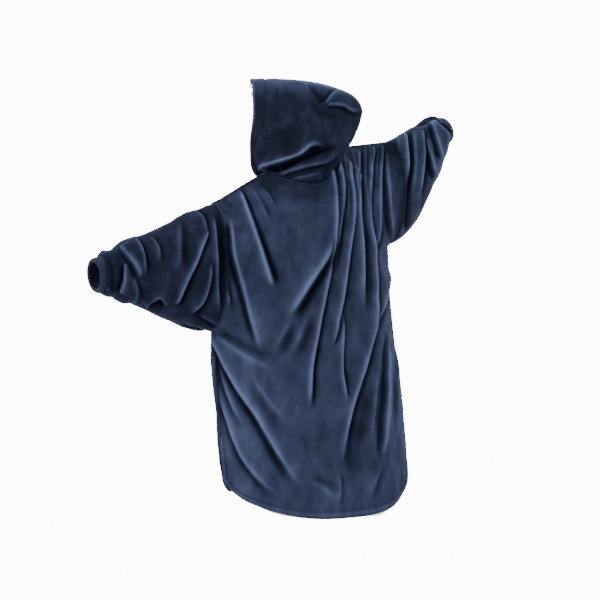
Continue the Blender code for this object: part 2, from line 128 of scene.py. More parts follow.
# The view that the folds are laid out in
VIEW_AZIMUTH = math.radians(152)
BACKWARDS = np.array([math.sin(VIEW_AZIMUTH), -math.cos(VIEW_AZIMUTH), 0.0])
ACROSS = np.array([math.cos(VIEW_AZIMUTH), math.sin(VIEW_AZIMUTH), 0.0])
ACROSS_ZERO = 0.006
EYE_AWAY = 3.5
BACKDROP = 12.0  # how bright the wall and floor are to look at
EYE_UP = -0.397
PLANE_NEARER = 0.13  # how far the plane through the upper back is towards the viewer

# Soft waves all over the cloth, as (size, amount, how much longer than wide they are)
BODY_WAVES = ((0.16, 0.0022, 1.6), (0.05, 0.0007, 1.3))
HOOD_WAVES = ((0.12, 0.0016, 1.0), (0.05, 0.0006, 1.0))
FULLEST_FOLD = 0.013  # a fold this high gets its painted highlight and painted shade in full


# ---------------------------------------------------------------- shape of the garment


def ease(share):
    share = np.clip(share, 0.0, 1.0)
    return share * share * (3 - 2 * share)


def hump(value, centre, width):
    return np.exp(-(((value - centre) / width) ** 2))


def unit(vectors):
    return vectors / np.maximum(np.linalg.norm(vectors, axis=-1, keepdims=True), 1e-12)


def smooth_through(values, share):
    """The smooth curve through evenly spaced values, at shares from 0 to 1 of the way along."""
    values = np.array(values, float)
    share = np.asarray(share, float)
    step = 1.0 / (len(values) - 1)
    slopes = np.gradient(values, step)
    i = np.clip((share / step).astype(int), 0, len(values) - 2)
    t = share / step - i
    start, end = values[i], values[i + 1]
    return (
        (2 * t**3 - 3 * t**2 + 1) * start
        + (t**3 - 2 * t**2 + t) * step * slopes[i]
        + (3 * t**2 - 2 * t**3) * end
        + (t**3 - t**2) * step * slopes[i + 1]
    )


def share_across(across):
    return EVEN_COLUMNS * across + (1 - EVEN_COLUMNS) * (1 - np.cos(math.pi * across)) / 2


NECK_HALF = 0.5 - float(share_across(NECK_CORNER))


def torso_place(panel):
    """The function that puts points (u across, v up) on a torso panel."""
    way = WAY[panel]

    def place(u, v):
        x_share = share_across(u)
        middle = np.abs(2 * x_share - 1)
        curve = 1 - middle**SIDE_SHARPNESS
        low = np.clip(v / UNDERARM, 0, 1)
        up = 2 * np.clip((v - UNDERARM) / (1 - UNDERARM), 0, 1) - 1
        at_seam = middle**6
        up = up * (1 - at_seam) + np.sin(math.pi / 2 * up) * at_seam
        is_low = (v <= UNDERARM)[:, None]
        low_ends, high_ends = [], []
        for side in ("right", "left"):
            top, bottom = ARMHOLE[side]
            x = smooth_through(SIDE_X[side], low)
            z = HEM_SIDE_Z + (bottom[2] - HEM_SIDE_Z) * low
            low_ends.append(np.stack([x, bottom[1] * low + SIDE_Y[side] * (1 - low), z], axis=1))
            high_ends.append((top + bottom) / 2 + (top - bottom) / 2 * up[:, None])
        low_point = low_ends[0] + (low_ends[1] - low_ends[0]) * x_share[:, None]
        low_point[:, 1] += way * HALF_DEPTH * curve
        low_point[:, 2] -= HEM_DROP[panel] * (1 - middle**3) * (1 - low) ** 2
        in_corner = np.clip(1 - (0.5 - np.abs(x_share - 0.5)) * 0.60 / CORNER_WIDE, 0, 1)
        low_point[:, 2] += CORNER_ROUND * (1 - np.sqrt(1 - in_corner**2)) * np.clip(1 - low / 0.5, 0, 1) ** 2
        from_neck = np.abs(x_share - 0.5) / NECK_HALF
        high = np.maximum(0.0, up)
        fade = high**2.5
        inside = np.maximum(0.0, 1 - from_neck**2)
        depth = HALF_DEPTH + (NECK_DEPTH[panel] - HALF_DEPTH) * fade
        opening = np.maximum(0.0, 1 - up**2) ** (0.5 + 0.8 * (1 - middle**10))
        profile = (1 - fade) * curve + fade * np.sqrt(inside)
        high_point = high_ends[0] + (high_ends[1] - high_ends[0]) * x_share[:, None]
        high_point[:, 1] += way * (depth * profile + ARMHOLE_DEPTH * opening * middle**ARMHOLE_REACH)
        neck = SHOULDER_RISE - NECK_DIP[panel] * inside
        slope = SHOULDER_RISE * (0.5 / NECK_HALF - from_neck) / (0.5 / NECK_HALF - 1)
        rise = np.where(from_neck <= 1, neck, slope)
        high_point += UP * (rise * high**3)[:, None]
        return np.where(is_low, low_point, high_point)

    return place


def neck_point(turn):
    """Points of the neckline, at angles from the front towards the wearer's left."""
    turn = np.atleast_1d(np.asarray(turn, float))
    share = (turn / (2 * math.pi)) % 1.0
    quarter = 1 - 2 * NECK_CORNER
    on_front = (share < 0.25) | (share >= 0.75)
    front_u = np.where(share < 0.25, 0.5 + share * 4 * quarter / 2, 0.5 - (1 - share) * 4 * quarter / 2)
    back_u = 0.5 + (0.5 - share) * 4 * quarter / 2
    ones = np.ones_like(turn)
    front = torso_place("front")(np.clip(front_u, 0, 1), ones)
    back = torso_place("back")(np.clip(back_u, 0, 1), ones)
    return np.where(on_front[:, None], front, back)


NECK_CENTRE = neck_point(np.linspace(0, 2 * math.pi, 24, endpoint=False)).mean(axis=0)


def sleeve_place(side):
    """The function that puts points (u round from the front, v from the armhole to the cuff) on a sleeve."""
    top_end, bottom_end = ARMHOLE[side]
    start = (top_end + bottom_end) / 2

    def place(u, v):
        angle = 2 * math.pi * u
        high, low = smooth_through(SLEEVE_TOP[side], v), smooth_through(SLEEVE_BOTTOM[side], v)
        depth = smooth_through(SLEEVE_DEPTH[side], v)
        depth = depth * (1 - SLEEVE_NARROW[side] * ease(v / 0.4) * np.maximum(0.0, -np.sin(angle)))
        rings = 0.09 * hump(v, 0.81, 0.050) * (0.7 + 0.3 * np.sin(3 * angle))
        rings += 0.07 * hump(v, 0.955, 0.030) * (0.7 + 0.3 * np.cos(2 * angle + 1.0))
        puff = 1 + SLEEVE_PUFF[side] * (rings - 0.05 * hump(v, 0.893, 0.022))
        high, low = (high + low) / 2 + (high - low) / 2 * puff, (high + low) / 2 - (high - low) / 2 * puff
        depth = depth * puff
        lean = (top_end - bottom_end) / 2
        x = start[0] + (SLEEVE_END[side][0] - start[0]) * v + lean[0] * (1 - v) * np.sin(angle)
        x += SLEEVE_SLANT[side] * v**3 * (1 - np.sin(angle)) / 2
        y = start[1] + (SLEEVE_END[side][1] - start[1]) * v + lean[1] * (1 - v) * np.sin(angle)
        z = (high + low) / 2 + (high - low) / 2 * np.sin(angle)
        return np.stack([x, y - depth * np.cos(angle), z], axis=1)

    return place


def hood_place(side):
    """The function that puts points (u from the face to the back seam, v from the neckline up) on half a hood."""
    way = 1.0 if side == "left" else -1.0
    first, last = (math.radians(angle) for angle in HOOD_FOOT[side])

    def place(u, v):
        turn = first + (last - first) * u
        foot = neck_point(turn)
        angle = math.pi / 2 * u
        edge_f, seam_f = smooth_through(HOOD_EDGE_F, v), smooth_through(HOOD_SEAM_F, v)
        forward = edge_f + (seam_f - edge_f) * np.sin(angle)
        width = np.maximum(0.0, smooth_through(HOOD_WIDTH, v))
        sideways = way * width * np.maximum(0.0, np.cos(angle)) ** 0.6
        edge_climb, seam_climb = smooth_through(HOOD_EDGE_CLIMB, v), smooth_through(HOOD_SEAM_CLIMB, v)
        climb = seam_climb + (edge_climb - seam_climb) * np.cos(angle)
        top = HOOD_TOP_Z[1] + (HOOD_TOP_Z[0] - HOOD_TOP_Z[1]) * np.cos(angle) + HOOD_BULGE * np.sin(2 * angle)
        height = foot[:, 2] + (top - foot[:, 2]) * climb
        share, full = ease(v / HOOD_TWIST_TO), ease(v / HOOD_FULL_FROM)
        spoke = foot - NECK_CENTRE
        low_f, low_s = spoke @ HOOD_F, spoke @ HOOD_S
        true_angle = np.arctan2(low_s, low_f)
        wanted = turn - HOOD_TURN
        low_angle = true_angle + 2 * math.pi * np.round((wanted - true_angle) / (2 * math.pi))
        high_angle = np.arctan2(np.abs(sideways), forward - HOOD_CENTRE_F) * way
        bearing = low_angle + (high_angle - low_angle) * share
        low_radius, high_radius = np.hypot(low_f, low_s), np.hypot(forward - HOOD_CENTRE_F, sideways)
        radius = low_radius + (high_radius - low_radius) * full
        level = np.array([1.0, 1.0, 0.0])
        middle = NECK_CENTRE * level + (HOOD_F * HOOD_CENTRE_F - NECK_CENTRE * level) * full[:, None]
        # the front is nearly flat, no further forward than the face edge
        reach, most = np.cos(bearing) * radius, edge_f - middle @ HOOD_F
        flatter = (reach + most - np.hypot(reach - most, HOOD_FRONT_ROUND)) / 2
        radius = radius * np.where(reach > 0.5 * most, flatter / np.maximum(reach, 1e-6), 1.0)
        point = middle + HOOD_F * (np.cos(bearing) * radius)[:, None] + HOOD_S * (np.sin(bearing) * radius)[:, None]
        point[:, 2] = height
        return point

    return place


# ---------------------------------------------------------------- folds

# A fold is (line, width, height, side, ends). It is seen on an upright plane through the upper back, or for the
# front through the upper front: its line is a list of (across, height). Its crest is height high, and a negative
# height makes a furrow. All of these are in millimetres. side is where it drops steeply to a trough: 1 is the right
# of a line that runs down, -1 the left, 0 neither. ends are the shares of the line over which it fades in and out.
BACK_FOLDS = [
    # left shoulder, and beside the left sleeve's seam
    (((-180, -80), (-139, -193), (-83, -365)), 12, 17, 1, (0.12, 0.12)),
    (((-206, -165), (-193, -278), (-159, -386), (-126, -500), (-110, -560)), 12, 14, -1, (0.1, 0.3)),
    (((-145, -75), (-115, -130), (-88, -190)), 8, 5, 1, (0.3, 0.4)),
    (((-120, -70), (-92, -110), (-70, -150)), 7, 4, 1, (0.3, 0.4)),
    (((-222, -230), (-220, -340), (-208, -440)), 9, 10, 1, (0.2, 0.3)),
    # the swag that closes the smooth middle
    (((82, -200), (60, -275), (11, -357), (-45, -455)), 18, 17, 1, (0.3, 0.25)),
    (((-25, -440), (-60, -500), (-85, -560)), 20, 6, 1, (0.4, 0.4)),
    (((20, -420), (-10, -500), (-50, -580)), 18, 5, 1, (0.4, 0.4)),
    # the fan from the right of the neck
    (((94, 0), (89, -142), (79, -278), (57, -397), (34, -527), (23, -601), (20, -712)), 8, 18, 1, (0.04, 0.1)),
    (((100, -15), (101, -120), (92, -215)), 5, 7, 1, (0.08, 0.3)),
    (((109, 0), (114, -85), (95, -233), (80, -330)), 8, 14, 1, (0.06, 0.25)),
    (((121, 0), (126, -95), (118, -200)), 5, 7, 1, (0.08, 0.4)),
    (((131, 0), (138, -130), (123, -278), (108, -391), (79, -540)), 8, 17, 1, (0.06, 0.22)),
    (((114, -420), (110, -590), (125, -695)), 7, 14, 1, (0.2, 0.22)),
    (((98, -455), (84, -530)), 6, 8, 1, (0.3, 0.4)),
    (((160, 30), (156, -153), (165, -267), (166, -450)), 11, 15, 1, (0.06, 0.3)),
    (((180, 40), (176, -80), (181, -200)), 6, 7, 1, (0.06, 0.4)),
    (((203, 40), (184, -142), (198, -278), (201, -425), (196, -505)), 8, 17, 1, (0.05, 0.18)),
    (((229, 40), (215, -102), (212, -199), (199, -290)), 7, 14, 1, (0.05, 0.22)),
    (((237, 20), (244, -153), (255, -233)), 8, 11, -1, (0.1, 0.2)),
    # gathered at the right shoulder
    (((143, 30), (150, -50), (147, -130)), 5, 7, 1, (0.08, 0.5)),
    (((192, 40), (191, -30), (194, -80)), 4, 5, 1, (0.08, 0.5)),
    (((216, 40), (208, -40), (204, -90)), 4, 6, 1, (0.08, 0.5)),
    # right side
    (((254, -290), (228, -403), (205, -470), (170, -595), (136, -709), (119, -794), (107, -885)),
     11, 16, 1, (0.08, 0.25)),
    (((200, -600), (165, -760), (140, -910)), 22, -6, 0, (0.3, 0.2)),
    (((243, -480), (237, -700), (226, -870)), 9, 14, -1, (0.2, 0.25)),
    (((265, -380), (269, -600), (265, -780)), 9, 6, -1, (0.15, 0.25)),
    (((215, -560), (203, -700), (195, -800)), 10, 6, 1, (0.3, 0.3)),
    # from the left underarm down to the right
    (((-262, -490), (-181, -641), (-125, -726), (-45, -862), (6, -940)), 15, 14, -1, (0.04, 0.3)),
    (((-228, -670), (-187, -794), (-142, -873), (-57, -964)), 13, 10, -1, (0.15, 0.35)),
    (((-240, -550), (-207, -660), (-160, -765)), 10, 8, -1, (0.2, 0.35)),
    (((-250, -530), (-245, -680), (-238, -800)), 8, 8, 1, (0.2, 0.3)),
    (((-245, -495), (-150, -560), (-60, -600)), 20, 7, 1, (0.1, 0.5)),
    (((-150, -600), (-80, -700), (-20, -770)), 20, 5, -1, (0.3, 0.5)),
    # towards the low hem
    (((10, -905), (60, -930), (95, -960)), 16, 5, 1, (0.4, 0.4)),
    (((100, -880), (105, -930), (98, -985)), 10, 5, 1, (0.3, 0.3)),
    (((225, -860), (200, -920), (185, -960)), 10, 5, 1, (0.3, 0.3)),
]
LEFT_SLEEVE_FOLDS = [
    # puffed just above the cuff
    (((-562, -278), (-549, -310), (-550, -372)), 9, 10, 1, (0.08, 0.08)),
    (((-515, -245), (-478, -288), (-458, -335)), 10, 15, -1, (0.1, 0.2)),
    (((-500, -290), (-500, -340), (-512, -378)), 9, 13, -1, (0.15, 0.15)),
    (((-480, -330), (-470, -370), (-478, -402)), 9, 9, 1, (0.2, 0.15)),
    (((-478, -214), (-455, -262), (-448, -330)), 9, 13, 1, (0.3, 0.3)),
    (((-434, -215), (-410, -248), (-406, -300)), 9, 8, 1, (0.3, 0.4)),
    # the deep tuck under the forearm
    (((-444, -412), (-425, -395), (-402, -386), (-382, -408)), 6, 14, -1, (0.1, 0.15)),
    (((-436, -414), (-415, -405), (-390, -410)), 9, -22, 0, (0.1, 0.1)),
    # down the upper arm
    (((-310, -145), (-283, -172), (-274, -230)), 9, 9, 1, (0.35, 0.4)),
    (((-268, -200), (-308, -292), (-334, -340), (-362, -410)), 10, 19, 1, (0.12, 0.12)),
    (((-260, -290), (-283, -388), (-324, -436)), 10, 13, 1, (0.2, 0.25)),
    (((-345, -170), (-350, -260), (-360, -330)), 16, 7, 1, (0.3, 0.4)),
    (((-240, -140), (-227, -200), (-223, -280), (-217, -360), (-213, -440)), 9, -17, 0, (0.1, 0.12)),
    (((-255, -155), (-247, -250), (-246, -350), (-240, -440)), 10, 12, 1, (0.15, 0.2)),
    # gathered under the arm
    (((-340, -455), (-285, -468), (-245, -486)), 7, 9, -1, (0.2, 0.1)),
    (((-300, -430), (-262, -450), (-225, -472)), 7, 10, -1, (0.2, 0.1)),
]
RIGHT_SLEEVE_FOLDS = [
    (((294, 75), (293, -37), (277, -210)), 10, 18, 1, (0.05, 0.12)),
    (((250, 45), (266, -10), (264, -90), (254, -180)), 9, -14, 0, (0.08, 0.2)),
    (((268, 60), (279, 0), (282, -70)), 7, 11, -1, (0.08, 0.3)),
    (((340, 80), (341, 0), (325, -120)), 9, 13, 1, (0.06, 0.3)),
    (((316, 78), (318, 0), (306, -120)), 8, 10, -1, (0.08, 0.3)),
    (((350, 60), (366, -22), (380, -48)), 7, 15, -1, (0.08, 0.12)),
    (((362, 100), (382, 45), (394, 0)), 9, 13, -1, (0.08, 0.2)),
    (((310, 82), (345, 88), (385, 98)), 10, 10, 1, (0.15, 0.2)),
    (((350, 108), (395, 85), (420, 50)), 10, 11, 1, (0.15, 0.2)),
]
HOOD_FOLDS = [
    # across the crown, towards the tip of the back seam
    (((5, 226), (33, 198), (61, 158)), 8, -11, 0, (0.3, 0.12)),
    (((66, 158), (87, 184), (113, 193)), 8, 11, 1, (0.1, 0.4)),
    (((68, 155), (113, 153), (139, 139), (166, 141)), 7, 12, -1, (0.1, 0.3)),
    (((19, 174), (42, 139), (76, 125), (113, 129)), 11, -7, 0, (0.3, 0.3)),
    # the bag of the hood hangs over the collar
    (((-125, -28), (-79, -14), (-10, 14), (30, 44), (74, 38)), 9, 18, -1, (0.08, 0.3)),
    (((-128, -44), (-70, -30), (0, 0), (50, 22), (106, 38)), 8, -22, 0, (0.02, 0.12)),
    (((-104, -60), (-17, -28), (62, -4), (98, 22)), 7, 9, -1, (0.1, 0.2)),
    (((-60, -62), (10, -48), (60, -34)), 7, 6, 1, (0.2, 0.3)),
    # soft dents in its side
    (((-60, 100), (-40, 40), (-52, -6)), 30, -5, 0, (0.3, 0.3)),
]
FRONT_FOLDS = [
    (((-120, -60), (-90, -300), (-50, -520)), 14, 12, 1, (0.1, 0.4)),
    (((-170, -60), (-160, -320), (-130, -560)), 14, 12, 1, (0.1, 0.4)),
    (((-220, -30), (-215, -250), (-200, -480)), 12, 12, -1, (0.1, 0.3)),
    (((-235, -330), (-170, -640), (-110, -900)), 18, 14, 1, (0.1, 0.3)),
    (((130, -160), (110, -340), (60, -520)), 16, 12, -1, (0.1, 0.4)),
    (((190, -200), (180, -400), (150, -600)), 14, 13, 1, (0.1, 0.4)),
    (((240, -500), (180, -700), (80, -930)), 18, 14, 1, (0.1, 0.3)),
    (((245, -620), (205, -800), (150, -960)), 14, 10, 1, (0.1, 0.3)),
    (((0, -230), (10, -400), (0, -560)), 20, 7, 1, (0.3, 0.4)),
]


def in_metres(folds):
    return [(np.array(line) / 1000, wide / 1000, high / 1000, side, ends) for line, wide, high, side, ends in folds]


def smooth_line(points, count=26):
    """A rounded line through a few points, as evenly many points."""
    points = np.array(points, float)
    padded = np.vstack([2 * points[0] - points[1], points, 2 * points[-1] - points[-2]])
    line = []
    for share in np.linspace(0, len(points) - 1, count):
        i = min(int(share), len(points) - 2)
        t = share - i
        a, b, c, d = padded[i : i + 4]
        line.append(0.5 * (2 * b + (c - a) * t + (2 * a - 5 * b + 4 * c - d) * t**2 + (3 * b - a - 3 * c + d) * t**3))
    return np.array(line)


def fold_lift(places, fold):
    """How far a fold lifts the cloth at each (across, height) place, and its painted highlight and shade."""
    points, width, height, dark_side, ends = fold
    line = smooth_line(points)
    steps = np.diff(line, axis=0)
    lengths = np.maximum(np.linalg.norm(steps, axis=1), 1e-6)
    gone = np.concatenate([[0], np.cumsum(lengths)])
    best = np.full(len(places), 1e9)
    signed = np.zeros(len(places))
    along = np.zeros(len(places))
    for i in range(len(steps)):
        offset = places - line[i]
        t = np.clip(offset @ steps[i] / lengths[i] ** 2, 0, 1)
        away = offset - t[:, None] * steps[i]
        distance = np.hypot(away[:, 0], away[:, 1])
        right = steps[i][0] * offset[:, 1] - steps[i][1] * offset[:, 0]
        nearer = distance < best
        best[nearer] = distance[nearer]
        signed[nearer] = np.where(right[nearer] > 0, 1, -1) * distance[nearer]
        along[nearer] = (gone[i] + t[nearer] * lengths[i]) / gone[-1]
    fade = ease(along / ends[0]) * ease((1 - along) / ends[1])
    spread = width * (0.5 + 0.75 * np.sqrt(along))
    s = signed / spread * (dark_side or 1)
    # the second value is painted light and shade: a painted highlight on a crest, painted shade in its trough or
    # furrow
    if dark_side == 0:
        crest = np.exp(-np.abs(s) ** 1.8)
        return height * fade * crest, np.sign(height) * 1.1 * fade * crest
    crest = np.where(s < 0, np.exp(-np.abs(s / 2.1)), np.exp(-np.abs(s / 0.5) ** 1.6))
    trough = hump(s, 1.1, 0.65) * ease(s / 0.6)
    lit = np.where(s < 0, np.exp(-np.abs(s / 0.45)), np.exp(-np.abs(s / 0.22) ** 2))
    return 0.8 * height * fade * (crest - 0.7 * trough), fade * (1.4 * lit - 1.25 * trough)


def ripple(points, seed, size, amount, upright=1.0):
    """Soft uneven waves in the cloth, the same each time for one seed; upright above 1 draws them out upwards."""
    draw = np.random.default_rng(seed)
    total = np.zeros(len(points))
    for _ in range(16):
        way = draw.normal(size=3) * np.array([1.0, 1.0, 1.0 / upright])
        way /= np.linalg.norm(way * np.array([1.0, 1.0, upright]))
        wave = 2 * math.pi / (size * draw.uniform(0.7, 1.7))
        total += np.sin(points @ way * wave + draw.uniform(0, 2 * math.pi))
    return amount * total / 4


def seen_at(points, backwards):
    """Where points are seen, as (across, height) on the upright plane that folds are laid out on."""
    near = points @ backwards
    across = np.array([-backwards[1], backwards[0], 0.0])
    bigger = (EYE_AWAY - PLANE_NEARER) / (EYE_AWAY - near)
    return np.stack([(points @ across - ACROSS_ZERO) * bigger, (points[:, 2] - EYE_UP) * bigger + EYE_UP], axis=1)


def folded(place, folds, held, flip, backwards=None, waves=BODY_WAVES, seed=1, painted_shading=None, through=0.0):
    """Cloth laid on a surface with its folds in it: a function of u, v and how far to stand off the cloth.

    held(u, v) is how free the cloth is, from 0 at a seam to 1, with painted shade where it is held; the function of
    points gives painted light and shade by place. The folds also run on round the far side, through times as high.
    """
    backwards = BACKWARDS if backwards is None else backwards
    folds = in_metres(folds)

    def cloth(u, v, off=0.0):
        points, normals = place(u, v), facing(place, u, v, flip)
        lift, bright = np.zeros(len(points)), np.zeros(len(points))
        for way, amount in ((1, 1.0), (-1, through)):
            where = seen_at(points, backwards * way)
            seen = amount * ease((normals @ backwards * way + 0.16) / 0.50)
            for line, width, height, side, ends in folds if amount else ():
                line = [(across * way, up) for across, up in line]
                raised, lit = fold_lift(where, (line, width, height, side * way, ends))
                lift += raised * seen
                bright += lit * min(1.5, abs(height) / FULLEST_FOLD) * seen
        for i, (size, amount, upright) in enumerate(waves):
            lift += ripple(points, seed + i, size, amount, upright)
        free = held(u, v)
        # painted shade along the seams where the cloth is held, and painted light and shade by place
        bright = bright * free - 0.4 * (1 - free) + (painted_shading(points) if painted_shading else 0.0)
        return points + normals * (lift * free - 0.0015 * (1 - free) + off)[:, None], bright

    return cloth


def torso_painted_shading(points):
    """Painted shade round the neck and down the right side, and painted light under the left arm."""
    painted_shading = 0.12 * ease((-0.30 - points[:, 2]) / 0.45) - 0.25
    by_neck = ease((0.215 - np.linalg.norm(points - NECK_CENTRE, axis=1)) / 0.075)
    painted_shading += by_neck * (0.08 - 0.63 * ease((points[:, 0] + 0.09) / 0.10))
    painted_shading -= 0.50 * ease((-0.20 - points[:, 0]) / 0.12)
    return painted_shading + 0.30 * ease((points[:, 0] - 0.14) / 0.10) * ease((-0.36 - points[:, 2]) / 0.12)


def sleeve_painted_shading(points):
    # painted shade: the left sleeve darker than the right, both darker than the back
    return np.where(points[:, 0] > 0, -0.75, -0.45)


def hood_painted_shading(points):
    # painted shade over the hood, with painted light towards its top
    return -0.62 + 1.1 * ease((points[:, 2] - 0.17) / 0.08)


def free_torso(u, v):
    return ease(u / 0.018) * ease((1 - u) / 0.018) * ease((1 - v) / 0.010)


def free_sleeve(u, v):
    return ease(v / 0.055) * ease((1 - v) / 0.05)


def free_hood(u, v):
    return ease((1 - u) / 0.04) * ease((1 - v) / 0.04) * ease(v / 0.05) * (0.3 + 0.7 * ease(u / 0.08))


def facing(place, u, v, flip):
    """The unit normals of a surface, on the side that its cloth shows."""
    step = 0.002
    low_u, high_u = np.maximum(u - step, 0), np.minimum(u + step, 1)
    low_v, high_v = np.maximum(v - step, 0), np.minimum(v + step, 1)
    along_u = place(high_u, v) - place(low_u, v)
    along_v = place(u, high_v) - place(u, low_v)
    return unit(np.cross(along_u, along_v) * (-1 if flip else 1))


# ---------------------------------------------------------------- meshes


def cloth_piece(name, columns, rows, cloth, off=0.0, wrap=False, flip=False, size=(1.0, 1.0), thick=PLUSH_THICK):
    """A cloth piece: an even grid laid by cloth(u, v, off), with its painted light and shade in a float attribute.

    It is thickened on the side that shows, or on its other side where thick is negative.
    """
    work = bmesh.new()
    bmesh.ops.create_grid(work, x_segments=columns, y_segments=rows, size=0.5, calc_uvs=True)
    flat = np.array([vert.co[:2] for vert in work.verts]) + 0.5
    points, bright = cloth(flat[:, 0], flat[:, 1], off)
    # per vertex painted light and shade, which the plush material reads
    painted_light = work.verts.layers.float.new("painted_light")
    for vert, point, lit in zip(work.verts, points, bright):
        vert.co = point
        vert[painted_light] = lit
    layer = work.loops.layers.uv.verify()
    for face in work.faces:
        for loop in face.loops:
            loop[layer].uv = (loop[layer].uv[0] * size[0], loop[layer].uv[1] * size[1])
    if wrap:
        bmesh.ops.remove_doubles(work, verts=work.verts, dist=2e-5)
    if flip:
        bmesh.ops.reverse_faces(work, faces=work.faces)
    piece = finish_mesh(name, work)
    wall = piece.modifiers.new("thickness", "SOLIDIFY")
    wall.thickness, wall.offset = abs(thick), 1.0 if thick > 0 else -1.0
    return piece


def finish_mesh(name, work):
    mesh = bpy.data.meshes.new(name)
    work.to_mesh(mesh)
    work.free()
    mesh.shade_smooth()
    piece = bpy.data.objects.new(name, mesh)
    bpy.context.scene.collection.objects.link(piece)
    return piece


# ---------------------------------------------------------------- materials


def linear(hex_colour):
    """A hex sRGB colour as linear red, green, blue and alpha."""
    parts = [int(hex_colour[i : i + 2], 16) / 255 for i in (1, 3, 5)]
    return (*(c / 12.92 if c <= 0.04045 else ((c + 0.055) / 1.055) ** 2.4 for c in parts), 1.0)


def node(tree, kind, settings=None, inputs=None, links=None):
    """Add a node with its settings and socket values, and link others' outputs to its inputs."""
    made = tree.nodes.new(kind)
    for key, value in (settings or {}).items():
        setattr(made, key, value)
    for key, value in (inputs or {}).items():
        made.inputs[key].default_value = value
    for key, source in (links or {}).items():
        tree.links.new(source, made.inputs[key])
    return made


def start_material(name, surface):
    """A new material, its node tree and its shader, with the values in surface."""
    made = bpy.data.materials.new(name)
    made.use_nodes = True
    shader = made.node_tree.nodes["Principled BSDF"]
    for key, value in surface.items():
        shader.inputs[key].default_value = value
    return made, made.node_tree, shader


def noise(tree, where, scale, detail=2.0, roughness=0.5):
    values = {"Scale": scale, "Detail": detail, "Roughness": roughness}
    return node(tree, "ShaderNodeTexNoise", inputs=values, links={"Vector": where}).outputs["Fac"]


def tint(tree, shader, source, *stops):
    """Colour a surface by source, through stops of (position, colour)."""
    ramp = node(tree, "ShaderNodeValToRGB", links={"Fac": source})
    elements = ramp.color_ramp.elements
    elements[0].position, elements[0].color = stops[0]
    elements[1].position, elements[1].color = stops[-1]
    for place, colour in stops[1:-1]:
        elements.new(place).color = colour
    tree.links.new(ramp.outputs["Color"], shader.inputs["Base Color"])


def bump(tree, shader, source, strength, distance, invert=False):
    """Raise a surface by source."""
    values = {"Strength": strength, "Distance": distance}
    raised = node(tree, "ShaderNodeBump", {"invert": invert}, values, {"Height": source})
    tree.links.new(raised.outputs["Normal"], shader.inputs["Normal"])


def plush_flannel(name):
    """Flannel plush, knitted polyester sheared to a 2 mm pile: dark face on, with painted highlights and shade."""
    surface = {"Roughness": 0.9, "Specular IOR Level": 0.02, "Sheen Weight": 0.16, "Sheen Roughness": 0.32}
    made, tree, shader = start_material(name, {**surface, "Sheen Tint": linear("#5f76b4")})
    where = node(tree, "ShaderNodeTexCoord").outputs["Object"]
    # the pile lies in brushed patches 30 to 70 mm long, drawn out downwards
    longer = node(tree, "ShaderNodeMapping", inputs={"Scale": (1.0, 1.0, 0.55)}, links={"Vector": where})
    patches = noise(tree, longer.outputs["Vector"], 22.0, 7.0, 0.60)
    soft = node(tree, "ShaderNodeMath", {"operation": "MULTIPLY_ADD"}, {1: 0.35, 2: 0.325}, {0: patches})
    # painted light and shade from the mesh attribute, laid over the random patches
    painted_shading = node(tree, "ShaderNodeAttribute", {"attribute_name": "painted_light"}).outputs["Fac"]
    mixed = node(tree, "ShaderNodeMath", {"operation": "MULTIPLY_ADD"}, {1: 0.20}, {0: painted_shading, 2: soft.outputs[0]})
    blues = ((0.20, "#03040a"), (0.36, "#0b0e19"), (0.52, "#1c2131"), (0.82, "#373f58"))
    tint(tree, shader, mixed.outputs[0], *((place, linear(colour)) for place, colour in blues))
    # pile tufts 2 mm apart, drawn coarse enough to show
    bump(tree, shader, noise(tree, where, 420.0, 2.0, 0.7), 0.4, 0.0012)
    return made


def sherpa_fleece(name):
    """Sherpa fleece, brushed into curls about 5 mm across: warm white, with painted soft grey shade between the curls.
    """
    surface = {"Roughness": 0.95, "Specular IOR Level": 0.1, "Sheen Weight": 0.3}
    made, tree, shader = start_material(name, surface)
    where = node(tree, "ShaderNodeTexCoord").outputs["Object"]
    curls = node(tree, "ShaderNodeTexVoronoi", inputs={"Scale": 190.0}, links={"Vector": where}).outputs["Distance"]
    # painted shade: grey towards the edges of each curl
    tint(tree, shader, curls, (0.1, linear("#f4f1ea")), (0.75, linear("#c9c4ba")))
    bump(tree, shader, curls, 0.8, 0.003, invert=True)
    return made


def rib_knit(name):
    """Cotton rib knit in dark navy, smoother and flatter than the plush."""
    surface = {"Roughness": 0.85, "Specular IOR Level": 0.04, "Sheen Weight": 0.04}
    made, tree, shader = start_material(name, surface)
    yarn = noise(tree, node(tree, "ShaderNodeTexCoord").outputs["Object"], 900.0)
    tint(tree, shader, yarn, (0.0, linear("#090b19")), (1.0, linear("#13172b")))
    bump(tree, shader, yarn, 0.4, 0.0006)
    return made


def plain_woven(name, colour, roughness):
    """Plain woven tape, satin or thread, with a fine weave."""
    made, tree, shader = start_material(name, {"Roughness": roughness, "Specular IOR Level": 0.06})
    weave = noise(tree, node(tree, "ShaderNodeTexCoord").outputs["Object"], 1100.0, 1.0)
    dark = tuple(c * 0.8 for c in linear(colour)[:3]) + (1.0,)
    tint(tree, shader, weave, (0.0, dark), (1.0, linear(colour)))
    bump(tree, shader, weave, 0.3, 0.0004)
    return made


def wear(piece, material, body, slot, *nodes):
    """Give a piece its material, its body and the CAD nodes it stands for."""
    piece.data.materials.clear()
    piece.data.materials.append(material)
    if body is not None:
        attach(piece, body)
    if nodes:
        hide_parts(*nodes)
    return piece


# ---------------------------------------------------------------- garment


